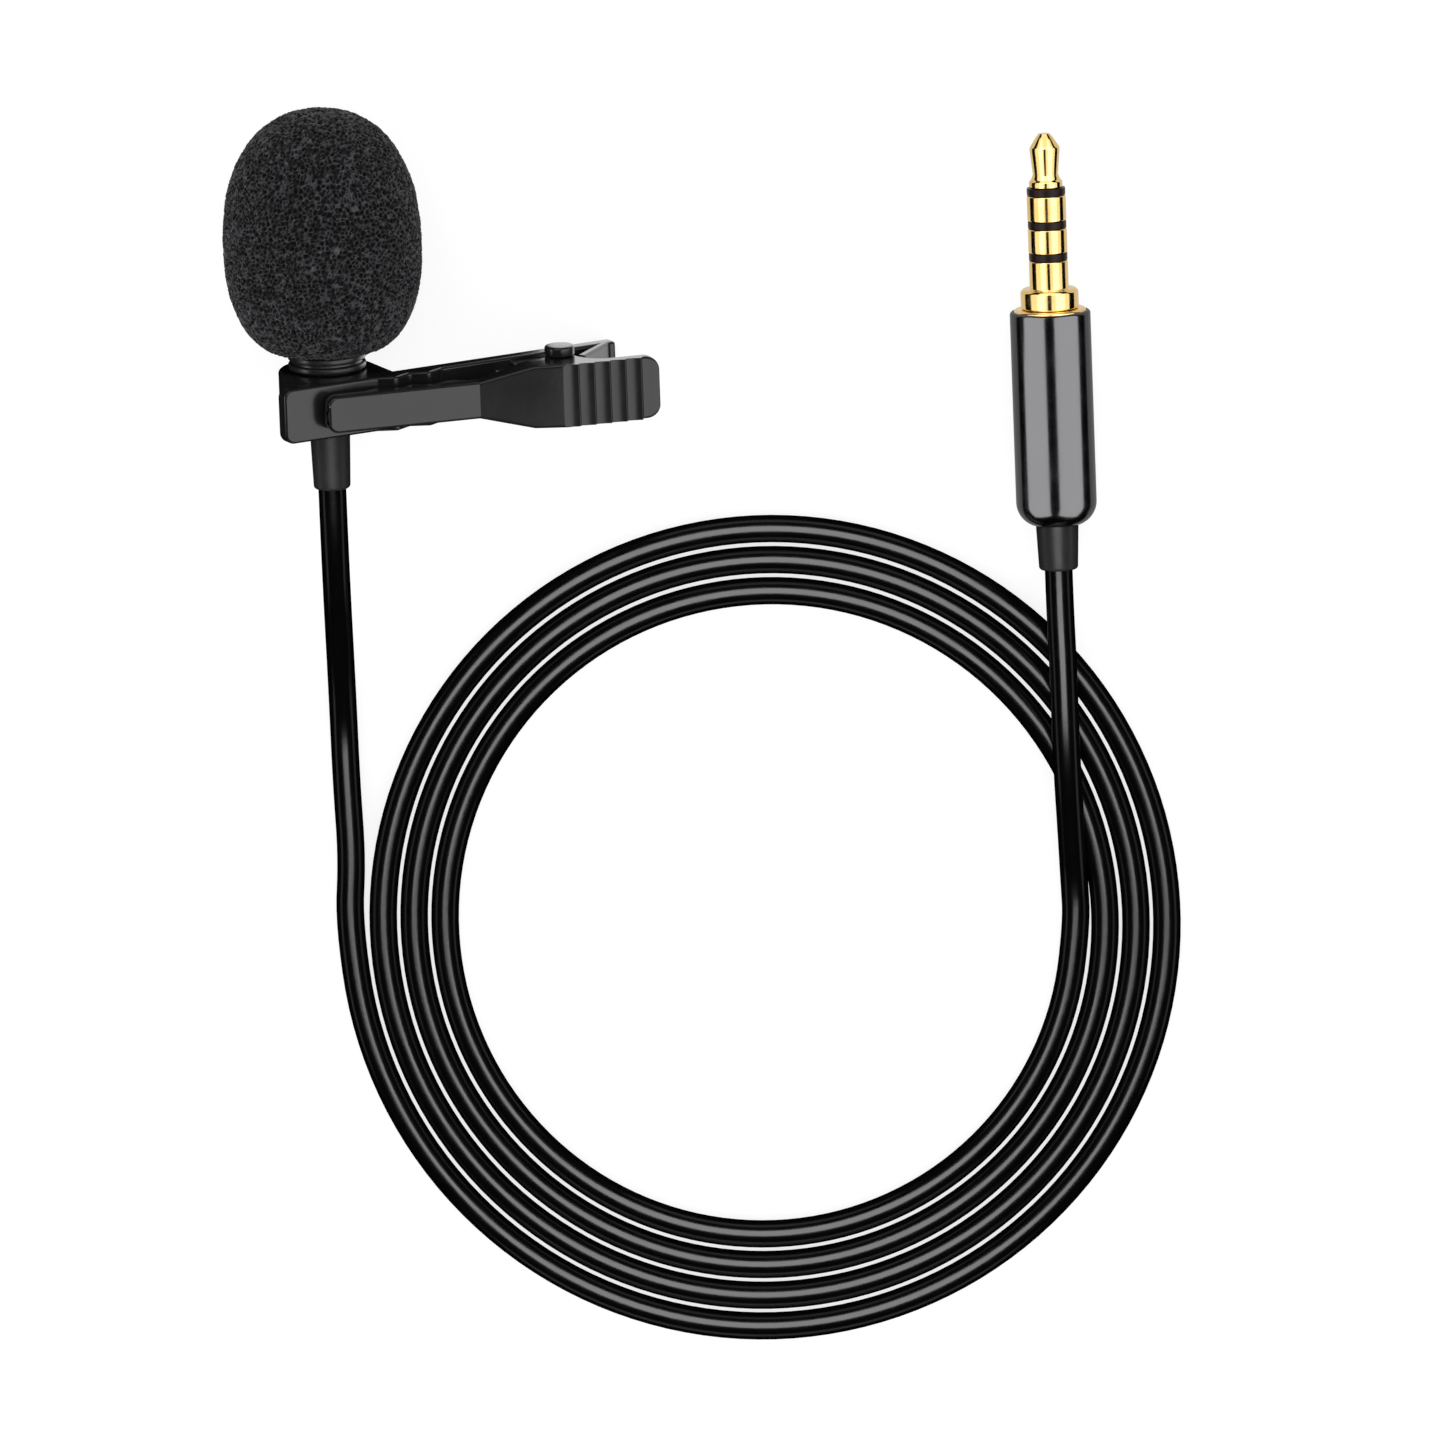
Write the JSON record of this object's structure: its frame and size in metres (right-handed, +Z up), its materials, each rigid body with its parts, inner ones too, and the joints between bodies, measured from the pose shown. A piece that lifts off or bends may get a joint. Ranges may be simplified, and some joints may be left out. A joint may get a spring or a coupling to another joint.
{
  "type": "lavalier microphone",
  "caption": "Tie-clip microphone with a foam ball windscreen, sprung lever clip, flat-coiled cable and four-pole 3.5 mm plug.",
  "frame": {"origin": "on the table, under the middle of the microphone and clip without their cable and plug", "axes": "+Z up from the table, +X along the clip towards the plug's side, +Y towards the foam's top"},
  "size_m": [0.086, 0.1145, 0.0182],
  "materials": {
    "foam": "open-cell charcoal foam",
    "mic_metal": "black anodised",
    "soft_rubber": "matte",
    "felt": "felt",
    "capsule_aluminium": "satin",
    "capsule_brass": "satin",
    "inner_plastic": "moulded",
    "board": "circuit board",
    "relief_rubber": "soft satin",
    "wire_red": "insulated wire",
    "wire_bare": "insulated wire",
    "clip_plastic": "glossy black moulding",
    "pin_metal": "black glossy",
    "spring_steel": "spring wire",
    "cable_jacket": "satin black sheath",
    "gilt": "mirror gilt",
    "insulator": "dark brown",
    "barrel_black": "glossy black"
  },
  "bodies": {
    "microphone": {"mic_housing": "mic_metal", "o_ring": "soft_rubber", "grille_cap": "mic_metal", "dust_felt": "felt", "capsule_can": "capsule_aluminium", "diaphragm_ring": "capsule_brass", "spacer_ring": "inner_plastic", "back_plate": "capsule_brass", "back_plate_holder": "inner_plastic", "capsule_board": "board", "jfet": "inner_plastic", "capsule_boot": "soft_rubber", "mic_strain_relief": "relief_rubber", "mic_signal_wire": "wire_red", "mic_ground_wire": "wire_bare", "mic_lead": "cable_jacket", "cable_coil": "cable_jacket", "plug_lead": "cable_jacket", "plug_tip": "gilt", "plug_insulator_one": "insulator", "plug_insulator_two": "insulator", "plug_insulator_three": "insulator", "plug_ring_one": "gilt", "plug_ring_two": "gilt", "plug_sleeve": "gilt", "plug_rim": "gilt", "plug_barrel": "barrel_black", "plug_core": "inner_plastic", "signal_lug": "capsule_brass", "ground_lug": "capsule_brass", "plug_strain_relief": "relief_rubber", "plug_signal_wire": "wire_red", "plug_ground_wire": "wire_bare"},
    "windscreen_foam": {"windscreen": "foam"},
    "clip_arm": {"clip_body": "clip_plastic", "hinge_pin": "pin_metal", "torsion_spring": "spring_steel"},
    "lever_arm": {"clip_lever": "clip_plastic"}
  },
  "joints": [
    {"name": "clip_swivel", "type": "hinge", "parent": "microphone", "child": "clip_arm", "pos_m": [-0.01014, -0.00908, 0.00821], "axis": [0.0348, -0.997, -0.0698], "continuous": true},
    {"name": "lever_hinge", "type": "hinge", "parent": "clip_arm", "child": "lever_arm", "pos_m": [0.01063, -0.00833, 0.00791], "axis": [-0.0348, 0.997, 0.0698], "range_deg": [0, 28], "stiffness_Nm_per_rad": 0.01, "springref_deg": -68.75, "deforming": ["torsion_spring"]},
    {"name": "windscreen_pull", "type": "slide", "parent": "microphone", "child": "windscreen_foam", "axis": [-0.0348, 0.997, 0.0698], "range_m": [0, 0.016]}
  ]
}
